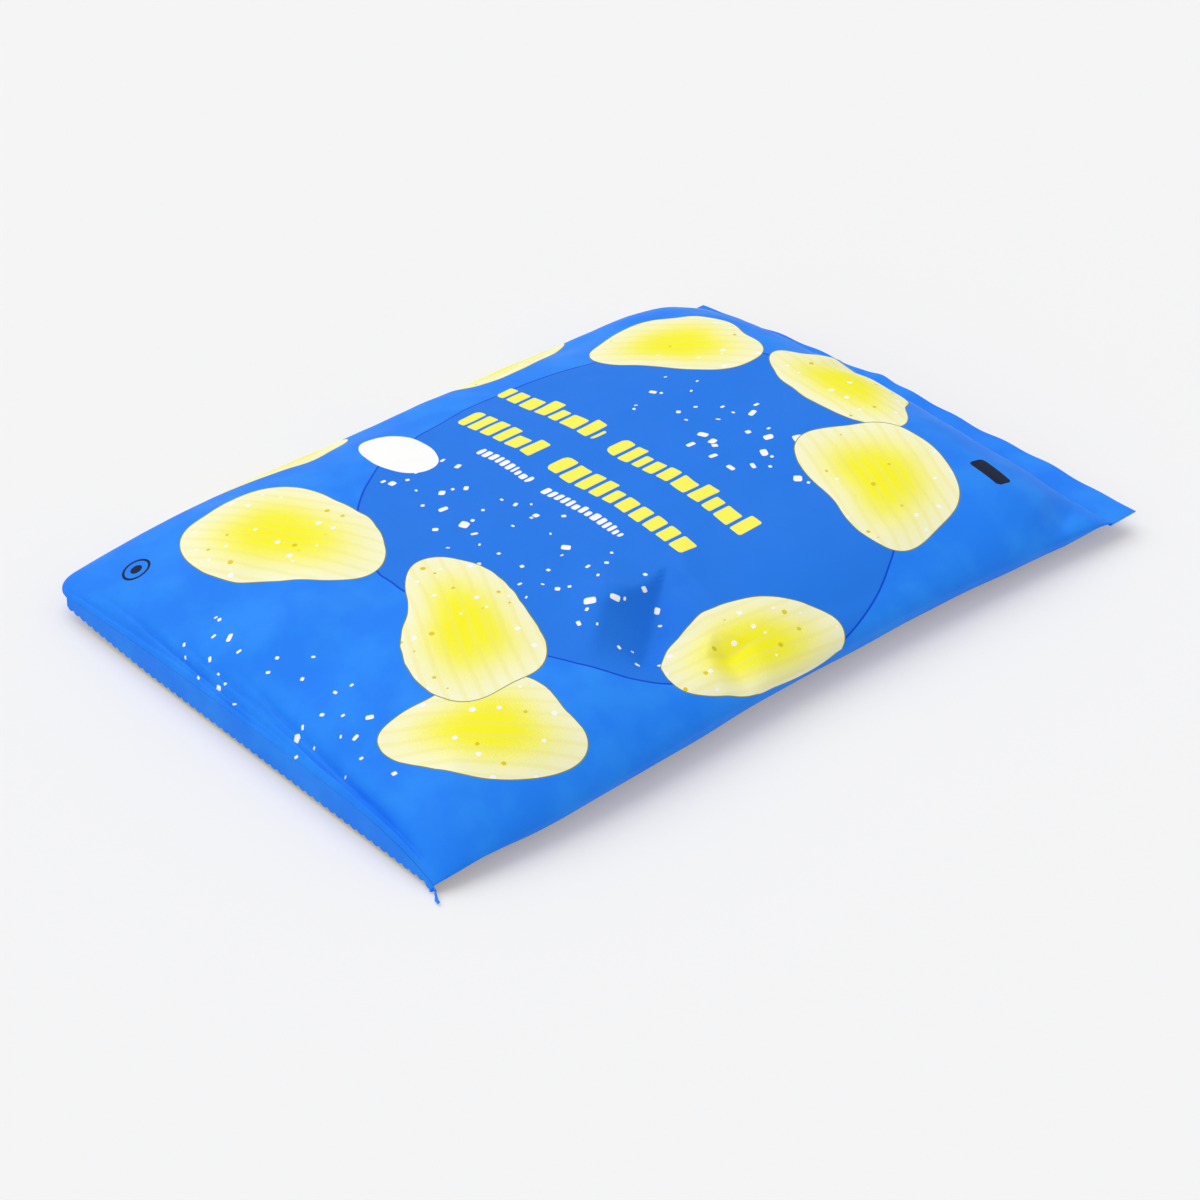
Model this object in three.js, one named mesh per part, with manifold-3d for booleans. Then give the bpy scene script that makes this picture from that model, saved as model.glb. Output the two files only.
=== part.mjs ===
// A full bag of crisps, lying on its back on a table. It is a pillow pack: a tube of thin printed film
// with a fin seal along the back, pressed flat and sealed across both ends. The bottom seal hangs down
// over the edge of the pack and is cut with a row of small teeth. The top seal lies flat and is cut straight.
// Sizes are in millimetres. +X is the right of the front print, +Y its top, and +Z points up.

import * as THREE from "three";
import Module from "manifold-3d";

// Outline of the pack
const FLAT_WIDTH = 200;
const LENGTH = 282;
const CROWN = 30;
const FILM = 0.5;

// End seals
const TOP_SEAL = 11;
const BOTTOM_SEAL_CLEARANCE = { left: 3.6, right: 1.3, reach: 45, power: 1.5 };
const BOTTOM_SEAL_LEAST = 1.7;
const BOTTOM_SEAL_INSET = { left: 12, right: 9.5 };
const SEAL_OVERLAP = 1.6;
const SEAL_TUCK = 0.2;
const TOOTH_PITCH = 10 / 3;
const TOOTH_DEPTH = 0.9;

// Side edges, seen from above: the filling pulls them in
const WAIST = { left: 4.4, right: 5.6 };
const BOTTOM_PULL = { left: 4.5, right: 10 };
const PULL_REACH = 0.3;
const CORNER_ROUND = { left: 7, right: 1.5 };
const CORNER_REACH = 0.028;

// Heights where the front and the back film meet. Each seam bends down towards its two ends.
const CREASE_HEIGHT = { left: 7.4, middle: 10.2, right: 2.2 };
const CREASE_BEND = { left: 2, right: 5 };
const TOP_SEAM_HEIGHT = { left: 0.7, middle: 8.3, right: 7 };
const TOP_SEAM_BEND = { left: 1.5, right: 2 };
const SIDE_HEIGHT = { left: 12.8, right: 11.8 };

// Swelling of the front from the ends and from the sides. The right half of the top rises more gently.
const BOTTOM_SWELL = { reach: 70, fall: 2.2, power: 0.75, rightPower: 0.75 };
const TOP_SWELL = { reach: 40, fall: 2.2, power: 0.7, rightPower: 1 };
const FULLY_RIGHT = 0.8;
const SIDE_SWELL = { roundness: 2.9, power: 0.62 };

// Fin seal on the back
const FIN_WIDTH = 12;
const FIN_THICKNESS = 0.6;
const FIN_BED = { flat: 9, end: 17 };
const FIN_SHORT = 1;

// Waves of the top seal: height, length and place, and one sharper pucker
const SEAL_WAVES = [
  { height: 0.35, length: 58, shift: 12 },
  { height: 0.3, length: 21, shift: 3.3 },
];
const PUCKER = { height: 1.6, x: -11, width: 5 };
const WAVE_REACH = 15;

// Soft dents (depth below zero) and ridges of the front film. Each runs along its angle.
const FOLDS = [
  { x: 59.5, y: -32.5, angle: -49, length: 24, right: 14, left: 16, depth: -8 },
  { x: 50, y: -11, angle: -35, length: 14, right: 5, left: 6, depth: 0.9 },
  { x: 46, y: -41, angle: -48, length: 17, right: 8, left: 8, depth: 2.4 },
  { x: 83, y: -25, angle: -17, length: 12, right: 7, left: 9, depth: -3.6 },
  { x: 91, y: 112, angle: 115, length: 16, right: 7, left: 6, depth: -4.5 },
  { x: 86, y: 30, angle: 88, length: 30, right: 6, left: 6, depth: -1.2 },
  { x: -84, y: 4, angle: 90, length: 9, right: 8, left: 8, depth: 1.3 },
  { x: -80, y: 86, angle: 90, length: 10, right: 9, left: 9, depth: 1.5 },
  { x: -82, y: 62, angle: 90, length: 12, right: 8, left: 8, depth: -1.3 },
  { x: -86, y: -24, angle: 90, length: 12, right: 7, left: 7, depth: -0.9 },
  { x: -52, y: -118, angle: 70, length: 22, right: 11, left: 11, depth: 2 },
  { x: -32, y: -121, angle: 80, length: 20, right: 9, left: 9, depth: -2 },
  { x: -12, y: -120, angle: 86, length: 20, right: 10, left: 10, depth: 1.8 },
  { x: 12, y: -122, angle: 92, length: 18, right: 9, left: 9, depth: -1.8 },
  { x: 78, y: -124, angle: -40, length: 20, right: 7, left: 7, depth: 1.4 },
  { x: 58, y: -128, angle: -35, length: 18, right: 6, left: 6, depth: -1.3 },
];
const FOLD_ROUNDNESS = 1.6;

// Fineness of the faceted model
const COLUMNS = 40;
const ROWS = 40;
const STEPS_PER_TOOTH = 2;

const HALF = FLAT_WIDTH / 2;
const BOTTOM_Y = -LENGTH / 2 + FILM / 2;
const TOP_Y = LENGTH / 2 - TOP_SEAL;
const BODY_LENGTH = TOP_Y - BOTTOM_Y;

const wasm = await Module();
wasm.setup();

const clamp01 = (value) => THREE.MathUtils.clamp(value, 0, 1);
const bell = (distance, roundness = 2) => Math.exp(-(Math.abs(distance) ** roundness));
const pick = (pair, across) => (across < 0 ? pair.left : pair.right);

// A pack point is named by across (-1 left edge, 1 right edge) and along (0 bottom crease, 1 top seam).
const yOf = (along) => BOTTOM_Y + BODY_LENGTH * along;
const arc = (along) => Math.max(0, Math.sin(Math.PI * along));

function halfWidth(across, along) {
  const waist = pick(WAIST, across) * arc(along) ** 0.8;
  const pull = pick(BOTTOM_PULL, across) * clamp01(1 - along / PULL_REACH) ** 2;
  const intoCorner = clamp01(1 - along / CORNER_REACH);
  const corner = pick(CORNER_ROUND, across) * (1 - Math.sqrt(1 - intoCorner ** 2));
  return HALF - waist - pull - corner;
}

function waves(x) {
  const swell = SEAL_WAVES.reduce(
    (sum, wave) => sum + wave.height * Math.sin((2 * Math.PI * (x + wave.shift)) / wave.length),
    0,
  );
  return swell + PUCKER.height * bell((x - PUCKER.x) / PUCKER.width);
}

function seamHeight(seam, bend, across) {
  return seam.middle + (pick(seam, across) - seam.middle) * Math.abs(across) ** pick(bend, across);
}

const creaseHeight = (across) => seamHeight(CREASE_HEIGHT, CREASE_BEND, across);
const topSeamHeight = (across) => seamHeight(TOP_SEAM_HEIGHT, TOP_SEAM_BEND, across);
const topSealHeight = (across) => topSeamHeight(across) + waves(across * HALF) * (1 - Math.abs(across) ** 6);

// Height of the pack's rim: the side edges in the middle, the seams at the ends
function rimHeight(across, along) {
  const inner = Math.sqrt(arc(along));
  const side = THREE.MathUtils.lerp(SIDE_HEIGHT.left, SIDE_HEIGHT.right, (1 + across) / 2);
  const seams = THREE.MathUtils.lerp(creaseHeight(across), topSeamHeight(across), along);
  const nearTop = Math.exp((yOf(along) - TOP_Y) / WAVE_REACH);
  const ripple = waves(across * HALF) * (1 - Math.abs(across) ** 6) * nearTop;
  return THREE.MathUtils.lerp(seams, side, inner) + ripple;
}

function endSwell(across, along) {
  const rise = (end, distance) => {
    const power = THREE.MathUtils.lerp(end.power, end.rightPower, clamp01(across / FULLY_RIGHT));
    const left = 1 - clamp01(distance / end.reach);
    return (1 - left ** end.fall) ** power;
  };
  return rise(BOTTOM_SWELL, yOf(along) - BOTTOM_Y) * rise(TOP_SWELL, TOP_Y - yOf(along));
}

function folds(x, y) {
  return FOLDS.reduce((sum, fold) => {
    const turn = THREE.MathUtils.degToRad(fold.angle);
    const run = (x - fold.x) * Math.cos(turn) + (y - fold.y) * Math.sin(turn);
    const off = (y - fold.y) * Math.cos(turn) - (x - fold.x) * Math.sin(turn);
    const width = off < 0 ? fold.right : fold.left;
    return sum + fold.depth * bell(run / fold.length) * bell(off / width, FOLD_ROUNDNESS);
  }, 0);
}

function frontPoint(across, along) {
  const x = across * halfWidth(across, along);
  const y = yOf(along);
  const rim = rimHeight(across, along);
  const full = clamp01(1 - Math.abs(across) ** SIDE_SWELL.roundness) ** SIDE_SWELL.power;
  const swell = endSwell(across, along) * full;
  const z = rim + (CROWN - rim) * swell + folds(x, y) * Math.min(1, 2 * swell);
  return new THREE.Vector3(x, y, z);
}

// The back sags on to the table, apart from a shallow bed in which the fin seal lies.
function backPoint(across, along) {
  const x = across * halfWidth(across, along);
  const resting = clamp01(1.3 * endSwell(across, along));
  const flat = Math.min(1, 1.05 * Math.sqrt(clamp01(1 - Math.abs(across) ** 8)));
  const bed = clamp01((FIN_BED.end - Math.abs(x)) / (FIN_BED.end - FIN_BED.flat));
  const z = rimHeight(across, along) * (1 - resting * flat) + FIN_THICKNESS * bed * resting;
  return new THREE.Vector3(x, yOf(along), z);
}

// A closed solid from rings of points, each ring given in the same order, with flat strip caps
function loftRings(rings) {
  const count = rings[0].length;
  const points = rings.flat().flatMap((point) => [point.x, point.y, point.z]);
  const triangles = [];
  for (let r = 0; r + 1 < rings.length; r += 1) {
    for (let i = 0; i < count; i += 1) {
      const next = (i + 1) % count;
      const [a, b, c, d] = [r * count + i, r * count + next, (r + 1) * count + next, (r + 1) * count + i];
      triangles.push(a, b, c, a, c, d);
    }
  }
  const lastRing = (rings.length - 1) * count;
  for (let i = 0; i + 1 < count / 2; i += 1) {
    const [p, q] = [i, i + 1];
    const [s, t] = [count - 1 - i, count - 2 - i];
    triangles.push(p, t, q, p, s, t);
    triangles.push(lastRing + p, lastRing + q, lastRing + t);
    triangles.push(lastRing + p, lastRing + t, lastRing + s);
  }
  return new wasm.Manifold(
    new wasm.Mesh({
      numProp: 3,
      vertProperties: new Float32Array(points),
      triVerts: new Uint32Array(triangles),
    }),
  );
}

// The filled body: every ring runs over the front from left to right and back underneath.
function body() {
  const lift = new THREE.Vector3(0, 0, FILM / 2);
  const rings = [];
  for (let r = 0; r <= ROWS; r += 1) {
    const along = (1 - Math.cos((Math.PI * r) / ROWS)) / 2;
    const front = [];
    const back = [];
    for (let c = 0; c <= COLUMNS; c += 1) {
      const across = Math.sin(Math.PI * (c / COLUMNS - 0.5));
      front.push(frontPoint(across, along).add(lift));
      const under = backPoint(across, along);
      back.push(under.setZ(Math.max(0, under.z - FILM / 2)));
    }
    rings.push([...front, ...back.reverse()]);
  }
  return loftRings(rings);
}

// A strip of sealed film: stations across the pack, each with a folded line of centre points
function strip(stations, thickness) {
  const rings = stations.map((line) => {
    const normals = line.map((point, i) => {
      const before = line[Math.max(0, i - 1)];
      const after = line[Math.min(line.length - 1, i + 1)];
      return new THREE.Vector3(0, before.z - after.z, after.y - before.y).setLength(thickness / 2);
    });
    const upper = line.map((point, i) => point.clone().add(normals[i]));
    const lower = line.map((point, i) => point.clone().sub(normals[i]));
    return [...lower, ...upper.reverse()];
  });
  return loftRings(rings);
}

// Depth of the cut between two teeth, at a distance from the strip's left end
function toothCut(distance) {
  const phase = (distance / TOOTH_PITCH) % 1;
  return TOOTH_DEPTH * (1 - Math.abs(2 * phase - 1));
}

function acrossStations(left, right) {
  const count = Math.round((right - left) / TOOTH_PITCH) * STEPS_PER_TOOTH;
  return Array.from({ length: count + 1 }, (_, i) => left + ((right - left) * i) / count);
}

function topSeal() {
  const stations = acrossStations(-HALF, HALF).map((x) => {
    const z = topSealHeight(x / HALF);
    return [new THREE.Vector3(x, TOP_Y - SEAL_OVERLAP, z), new THREE.Vector3(x, TOP_Y + TOP_SEAL, z)];
  });
  return strip(stations, FILM);
}

function bottomSeal() {
  const left = BOTTOM_SEAL_INSET.left - HALF;
  const right = HALF - BOTTOM_SEAL_INSET.right;
  const stations = acrossStations(left, right).map((x) => {
    const crease = creaseHeight(THREE.MathUtils.clamp(x / halfWidth(x, 0), -1, 1));
    const lifted = clamp01(1 - (x - left) / BOTTOM_SEAL_CLEARANCE.reach) ** BOTTOM_SEAL_CLEARANCE.power;
    const clearance = THREE.MathUtils.lerp(BOTTOM_SEAL_CLEARANCE.right, BOTTOM_SEAL_CLEARANCE.left, lifted);
    const edge = Math.min(clearance, crease - BOTTOM_SEAL_LEAST) + toothCut(x - left);
    return [
      new THREE.Vector3(x, BOTTOM_Y + SEAL_OVERLAP, crease - SEAL_TUCK),
      new THREE.Vector3(x, BOTTOM_Y, crease),
      new THREE.Vector3(x, BOTTOM_Y, edge),
    ];
  });
  return strip(stations, FILM);
}

// The fin seal follows the back from the bottom crease to the cut edge of the top seal.
function finSeal() {
  const centre = (along) => {
    const point = backPoint(0, along);
    return point.setZ(Math.max(point.z - FIN_THICKNESS / 2, FIN_THICKNESS / 2));
  };
  const line = Array.from({ length: ROWS + 1 }, (_, r) => centre((1 - Math.cos((Math.PI * r) / ROWS)) / 2));
  line.push(new THREE.Vector3(0, TOP_Y + TOP_SEAL - FIN_SHORT, line.at(-1).z));
  const sideways = (x) => line.map((point) => point.clone().setX(x));
  return strip([sideways(-FIN_WIDTH / 2), sideways(FIN_WIDTH / 2)], FIN_THICKNESS);
}

function toMesh(name, solid, material) {
  const made = solid.getMesh();
  const geometry = new THREE.BufferGeometry();
  geometry.setAttribute("position", new THREE.BufferAttribute(made.vertProperties, made.numProp));
  geometry.setIndex(new THREE.BufferAttribute(made.triVerts, 1));
  const mesh = new THREE.Mesh(geometry, material);
  mesh.name = name;
  return mesh;
}

const blueFilm = new THREE.MeshStandardMaterial({ color: 0x3389f4, roughness: 0.42, metalness: 0 });

const bag = new THREE.Group();
bag.add(toMesh("crisp_bag", body().add(bottomSeal()).add(topSeal()).add(finSeal()), blueFilm));

export default bag;
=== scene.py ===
# %% [markdown]
# A full bag of crisps, lying on its back on a pale table. The real bag is a tube of thin printed plastic
# film: a fin seal runs down the back, and both ends are pressed flat and sealed. The crisps and the gas
# inside swell it, so that nothing on it is quite flat or straight.
# This lesson shapes the film as a loft whose every point has a place on the flat, unrolled sheet. That
# sheet is then what the print is drawn on, as it is at the printer's.

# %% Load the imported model, which fixes the size and the place of everything
import math

import bpy
import numpy as np
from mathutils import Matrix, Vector


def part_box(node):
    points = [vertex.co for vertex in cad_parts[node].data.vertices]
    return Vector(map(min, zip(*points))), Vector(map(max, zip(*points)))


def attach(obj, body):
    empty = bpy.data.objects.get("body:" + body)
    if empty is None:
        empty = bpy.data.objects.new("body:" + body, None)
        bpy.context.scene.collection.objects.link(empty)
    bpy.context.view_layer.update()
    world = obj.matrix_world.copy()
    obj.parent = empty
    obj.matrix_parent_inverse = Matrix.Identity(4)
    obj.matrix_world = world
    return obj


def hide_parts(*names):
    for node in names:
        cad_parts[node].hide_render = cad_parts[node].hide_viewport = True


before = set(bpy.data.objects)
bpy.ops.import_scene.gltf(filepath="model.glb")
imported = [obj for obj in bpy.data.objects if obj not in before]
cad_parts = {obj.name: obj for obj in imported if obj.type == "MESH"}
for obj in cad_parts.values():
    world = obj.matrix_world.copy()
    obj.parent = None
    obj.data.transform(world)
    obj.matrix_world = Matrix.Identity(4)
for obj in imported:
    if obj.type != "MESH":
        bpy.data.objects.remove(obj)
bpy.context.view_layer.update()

bag_low, bag_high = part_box("crisp_bag")
MM = 0.001
LENGTH = (bag_high.y - bag_low.y) / MM
FLAT_WIDTH = (bag_high.x - bag_low.x) / MM
print(f"the bag is {FLAT_WIDTH:.0f} mm wide and {LENGTH:.0f} mm long")

# %% [markdown]
# The outline of the bag is a handful of sizes. The film can't stretch, so where the filling swells the
# bag, its side edges are pulled in. The rim, where the front film meets the back film, lies higher at the
# sides than at the two ends. These functions take and give millimetres, and all work on whole arrays.
# A point on the film is named by across, from -1 at the left edge to 1 at the right, and by along, from 0
# at the bottom crease to 1 at the top seam.

# %% Sizes of the bag, in millimetres
HALF = FLAT_WIDTH / 2
CROWN = 30.0
SEAM_GAP = 0.25
TOP_SEAL = 11.0
BOTTOM_Y = -LENGTH / 2 + SEAM_GAP
TOP_Y = LENGTH / 2 - TOP_SEAL
BODY_LENGTH = TOP_Y - BOTTOM_Y

# Each pair is for the left side and the right side.
WAIST = (4.4, 5.6)
WAIST_POWER = 0.8
BOTTOM_PULL = (4.5, 10.0)
PULL_REACH = 0.3
CORNER_ROUND = (7.0, 1.5)
CORNER_REACH = 0.028

# left, middle, right, then how sharply each side bends down
CREASE_HEIGHT = (7.4, 10.2, 2.2, 2.0, 5.0)
TOP_SEAM_HEIGHT = (0.7, 8.3, 7.0, 1.5, 2.0)
SIDE_HEIGHT = (12.8, 11.8)

# The top seam ripples. Each wave has a height, a start and a length, and the pucker a height, a place
# and a half width. They fade away from the seam over a short reach.
TOP_WAVES = [(0.35, -12, 58), (0.3, -3.3, 21)]
TOP_PUCKER = (1.6, -11, 5)
RIPPLE_REACH = 15

print(f"the filled part is {BODY_LENGTH:.1f} mm long between the two seams")


# %% The outline and the rim
def pick(pair, across):
    return np.where(across < 0, pair[0], pair[1])


def arc(along):
    return np.clip(np.sin(np.pi * along), 0, 1)


def half_width(across, along):
    waist = pick(WAIST, across) * arc(along) ** WAIST_POWER
    pull = pick(BOTTOM_PULL, across) * np.clip(1 - along / PULL_REACH, 0, 1) ** 2
    into_corner = np.clip(1 - along / CORNER_REACH, 0, 1)
    corner = pick(CORNER_ROUND, across) * (1 - np.sqrt(1 - into_corner**2))
    return HALF - waist - pull - corner


def top_ripple(across):
    x = across * HALF
    waves = sum(height * np.sin(2 * np.pi * (x - start) / length) for height, start, length in TOP_WAVES)
    height, centre, half = TOP_PUCKER
    pucker = height * np.exp(-(((x - centre) / half) ** 2))
    return (waves + pucker) * (1 - np.abs(across) ** 6)


def seam_height(seam, across):
    left, middle, right, left_bend, right_bend = seam
    drop = np.abs(across) ** pick((left_bend, right_bend), across)
    return middle + (pick((left, right), across) - middle) * drop


def top_seal_height(across):
    return seam_height(TOP_SEAM_HEIGHT, across) + top_ripple(across)


def rim_height(across, along):
    inner = np.sqrt(arc(along))
    side = SIDE_HEIGHT[0] + (SIDE_HEIGHT[1] - SIDE_HEIGHT[0]) * (1 + across) / 2
    seams = seam_height(CREASE_HEIGHT, across) * (1 - along) + seam_height(TOP_SEAM_HEIGHT, across) * along
    near_top = np.exp((along - 1) * BODY_LENGTH / RIPPLE_REACH)
    return seams * (1 - inner) + side * inner + top_ripple(across) * near_top


print(f"the waist is {half_width(-1.0, 0.5) + half_width(1.0, 0.5):.1f} mm wide")

# %% [markdown]
# Gas and crisps lift the front film. It rises steeply from the seams and the sides and is nearly level in
# the middle, which is what makes a bag look filled. Where there happen to be no crisps, the film gives
# way. It sinks softly in a dent, folds straight in a valley, or opens out from a point in a pinch, as the
# film of a real bag does when its side is pressed in. Sharp creases run where it was folded at the bottom
# seam. All of them are listed, one line each, because a real bag has them in no order either.

# %% Swelling, dents and creases
# reach, fall, then the power at the left and at the right
BOTTOM_SWELL = (70.0, 2.2, 0.75, 0.75)
TOP_SWELL = (40.0, 2.2, 0.7, 1.0)
FULLY_RIGHT = 0.8
SIDE_SWELL = (2.9, 0.62)

# A pinch starts at a point and opens out: x, y, direction in degrees, length over which it opens, full
# length, widths to the right and to the left, height
PINCHES = [
    (45, -14.5, -52, 25, 33, 14.5, 20, -9.4),
    (45, -14.5, -8, 9, 9, 4, 3, -1.6),
    (73, -22, -12, 8, 18, 7, 9, -4.2),
]
PINCH_FADE = 11
PINCH_CURVE = 1.5
PINCH_POINT = 0.001

# x, y, direction in degrees, half length, widths to the right and to the left, height
VALLEYS = [(93, 114, 115, 16, 8, 8, -5.6)]
DENTS = [
    (50, -11, -35, 14, 5, 6, 0.9),
    (46, -41, -48, 17, 8, 8, 2.4),
    (47, -35, 47, 8, 5, 4, 1.2),
    (86, 30, 88, 30, 6, 6, -1.2),
    (-84, 4, 90, 9, 8, 8, 1.3),
    (-80, 86, 90, 10, 9, 9, 1.5),
    (-82, 62, 90, 12, 8, 8, -1.3),
    (-86, -24, 90, 12, 7, 7, -0.9),
    (-52, -118, 70, 22, 11, 11, 2.0),
    (-32, -121, 80, 20, 9, 9, -2.0),
    (-12, -120, 86, 20, 10, 10, 1.8),
    (12, -122, 92, 18, 9, 9, -1.8),
    (78, -124, -40, 20, 7, 7, 1.4),
    (58, -128, -35, 18, 6, 6, -1.3),
    (-6, 118, 78, 12, 4, 4, -0.9),
    (-14, 121, 96, 10, 3, 3, 0.8),
    (-24, 117, 100, 12, 4, 5, -0.7),
]

# x, distance from the bottom crease, direction in degrees, half length, half widths, height
CREASES = [
    (-62, 1.5, 0.4, 34, 0.45, 0.4, -1.3),
    (-24, 3.0, -1.8, 34, 0.45, 0.5, -2.1),
    (-12, 4.9, -2.6, 18, 0.5, 0.6, -1.3),
    (-4, 1.3, -1.2, 18, 0.4, 0.4, -1.4),
    (26, 5.2, -4.2, 22, 0.8, 0.8, -2.1),
    (38, 3.0, -3.0, 26, 0.8, 0.8, -2.5),
    (64, 1.1, -1.0, 26, 0.6, 0.5, 1.1),
    (62, 2.9, -3.2, 26, 0.9, 1.0, -2.9),
    (79, 0.8, -1.0, 11, 0.45, 0.5, 1.0),
]


def end_swell(across, along):
    def rise(end, distance):
        reach, fall, left_power, right_power = end
        power = left_power + (right_power - left_power) * np.clip(across / FULLY_RIGHT, 0, 1)
        left = 1 - np.clip(distance / reach, 0, 1)
        return (1 - left**fall) ** power

    return rise(BOTTOM_SWELL, along * BODY_LENGTH) * rise(TOP_SWELL, (1 - along) * BODY_LENGTH)


def turned_by(x, y, centre, degrees):
    """How far a point lies along a turned line through the centre, and how far to its left."""
    turn = math.radians(degrees)
    dx = x - centre[0]
    dy = y - centre[1]
    return dx * math.cos(turn) + dy * math.sin(turn), dy * math.cos(turn) - dx * math.sin(turn)


def folds(marks, x, y, profile):
    total = np.zeros_like(x)
    for centre_x, centre_y, degrees, length, right, left, height in marks:
        run, off = turned_by(x, y, (centre_x, centre_y), degrees)
        total += height * np.exp(-((run / length) ** 2)) * profile(off / np.where(off < 0, right, left))
    return total


def pinches(marks, x, y):
    total = np.zeros_like(x)
    for start_x, start_y, degrees, opening, length, right, left, height in marks:
        run, off = turned_by(x, y, (start_x, start_y), degrees)
        opened = np.clip(run / opening, PINCH_POINT, 1)
        faded = np.exp(-((np.maximum(run - length, 0) / PINCH_FADE) ** 2))
        width = np.where(off < 0, right * opened**PINCH_CURVE, left * opened)
        total += height * opened * faded * straight_fold(off / width)
    return total


# The cross-sections of a fold, 1 at its line and 0 beside it
ROUND_POWER = 1.6
SHARP_POWER = 1.3
EDGE_ROUNDING = 0.06


def round_fold(t):
    return np.exp(-np.abs(t) ** ROUND_POWER)


def straight_fold(t):
    flank = 1 - np.hypot(t, EDGE_ROUNDING)
    return 0.5 * (flank + np.hypot(flank, EDGE_ROUNDING))


def sharp_fold(t):
    return np.exp(-np.abs(t) ** SHARP_POWER)


print(len(PINCHES) + len(VALLEYS) + len(DENTS) + len(CREASES), "folds and dents")


# %% Small unevenness, from seeded waves that run in all directions
# height, seed, shortest wave, longest wave, and how many there are
LONG_WAVES = (0.3, 7, 24, 60, 12)
SHORT_WAVES = (0.09, 21, 10, 22, 24)
BACK_WAVES = (1.2, 9, 18, 45, 10)

# height, how many there are at each seam, then seed and reach at the bottom and at the top
PLEAT_HEIGHT = 0.35
PLEAT_COUNT = 16
BOTTOM_PLEATS = (11, 14)
TOP_PLEATS = (12, 12)


def unevenness(x, y, seed, shortest, longest, count):
    random = np.random.default_rng(seed)
    total = np.zeros_like(x)
    for _ in range(count):
        turn = random.uniform(0, np.pi)
        wave = random.uniform(shortest, longest)
        phase = random.uniform(0, 2 * np.pi)
        total += np.sin(2 * np.pi * (x * np.cos(turn) + y * np.sin(turn)) / wave + phase)
    return total / math.sqrt(count)


def end_pleats(x, distance, seed, reach):
    random = np.random.default_rng(seed)
    total = np.zeros_like(x)
    for _ in range(PLEAT_COUNT):
        centre = random.uniform(-90, 90)
        width = random.uniform(2.5, 6)
        lean = random.uniform(-0.35, 0.35)
        depth = random.uniform(-1, 1)
        length = reach * random.uniform(0.5, 1.3)
        off = (x - centre - lean * distance) / (width * (1 + distance / 40))
        total += depth * np.exp(-(off**2)) * np.exp(-((distance / length) ** 1.5))
    return total * np.clip(distance / 3, 0, 1)


# %% The front and the back film as functions
def front_height(across, along):
    x = across * half_width(across, along)
    from_bottom = along * BODY_LENGTH
    from_top = (1 - along) * BODY_LENGTH
    rim = rim_height(across, along)
    full = np.clip(1 - np.abs(across) ** SIDE_SWELL[0], 0, 1) ** SIDE_SWELL[1]
    swell = end_swell(across, along) * full
    inside = np.minimum(1, 2 * swell)
    z = rim + (CROWN - rim) * swell
    z += inside * pinches(PINCHES, x, BOTTOM_Y + from_bottom)
    z += inside * folds(VALLEYS, x, BOTTOM_Y + from_bottom, straight_fold)
    z += inside * folds(DENTS, x, BOTTOM_Y + from_bottom, round_fold)
    for height, *waves in (LONG_WAVES, SHORT_WAVES):
        z += inside * height * unevenness(x, from_bottom, *waves)
    z += full * folds(CREASES, x, from_bottom, sharp_fold)
    pleats = end_pleats(x, from_bottom, *BOTTOM_PLEATS) + end_pleats(x, from_top, *TOP_PLEATS)
    return z + full * PLEAT_HEIGHT * pleats


# The back film lies on the table, and down the middle it lies over the fin seal, a little higher
FIN_WIDTH = 12.0
FIN_THICKNESS = 0.5
FIN_BED = (9.0, 17.0)
RESTING_GAIN = 1.3
FLAT_GAIN = 1.05
FLAT_POWER = 8


def back_height(across, along):
    x = across * half_width(across, along)
    resting = np.clip(RESTING_GAIN * end_swell(across, along), 0, 1)
    flat = np.minimum(1, FLAT_GAIN * np.sqrt(np.clip(1 - np.abs(across) ** FLAT_POWER, 0, 1)))
    bed = np.clip((FIN_BED[1] - np.abs(x)) / (FIN_BED[1] - FIN_BED[0]), 0, 1)
    free = resting * flat * (1 - resting * flat)
    height, *waves = BACK_WAVES
    lumps = height * free * unevenness(x, along * BODY_LENGTH, *waves)
    return rim_height(across, along) * (1 - resting * flat) + FIN_THICKNESS * bed * resting + lumps


print(f"the crown is {front_height(np.array(0.0), np.array(0.5)):.1f} mm above the table")

# %% [markdown]
# The film becomes a mesh of rings. Each ring runs over the front from left to right and back underneath.
# The points lie close together at the sides and near the seams, where the film bends most, and about
# 1 mm apart elsewhere, so that the folds come from the mesh itself and not from a bump map.

# %% Where the rings and their points lie
FRONT_CELLS = 216
BACK_CELLS = FRONT_CELLS // 2
FINEST_ROW = 0.2
COARSEST_ROW = 1.35
ROW_GROWTH = 0.045
EVEN_SHARE = 0.5


def row_places():
    distance = 0.0
    half = [0.0]
    while distance < BODY_LENGTH / 2:
        distance += min(COARSEST_ROW, FINEST_ROW + ROW_GROWTH * distance)
        half.append(distance)
    half = np.array(half) * (BODY_LENGTH / 2) / half[-1]
    return np.concatenate([half, BODY_LENGTH - half[-2::-1]]) / BODY_LENGTH


def column_places(cells):
    even = np.linspace(-1, 1, cells + 1)
    return EVEN_SHARE * even + (1 - EVEN_SHARE) * np.sin(np.pi / 2 * even)


rows = row_places()
print(f"{len(rows)} rings of {FRONT_CELLS + BACK_CELLS} cells")


# %% The two films as grids of points
def film_points(across, height, sheet_side):
    grid_across, grid_along = np.meshgrid(across, rows, indexing="xy")
    x = grid_across * half_width(grid_across, grid_along)
    y = BOTTOM_Y + grid_along * BODY_LENGTH
    z = height(grid_across, grid_along) + sheet_side * SEAM_GAP / 2
    return np.stack([x, y, np.maximum(z, 0)], axis=-1)


front = film_points(column_places(FRONT_CELLS), front_height, 1)
back = film_points(column_places(BACK_CELLS), back_height, -1)
print(f"the front film is {front.shape[0]} by {front.shape[1]} points")

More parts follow.
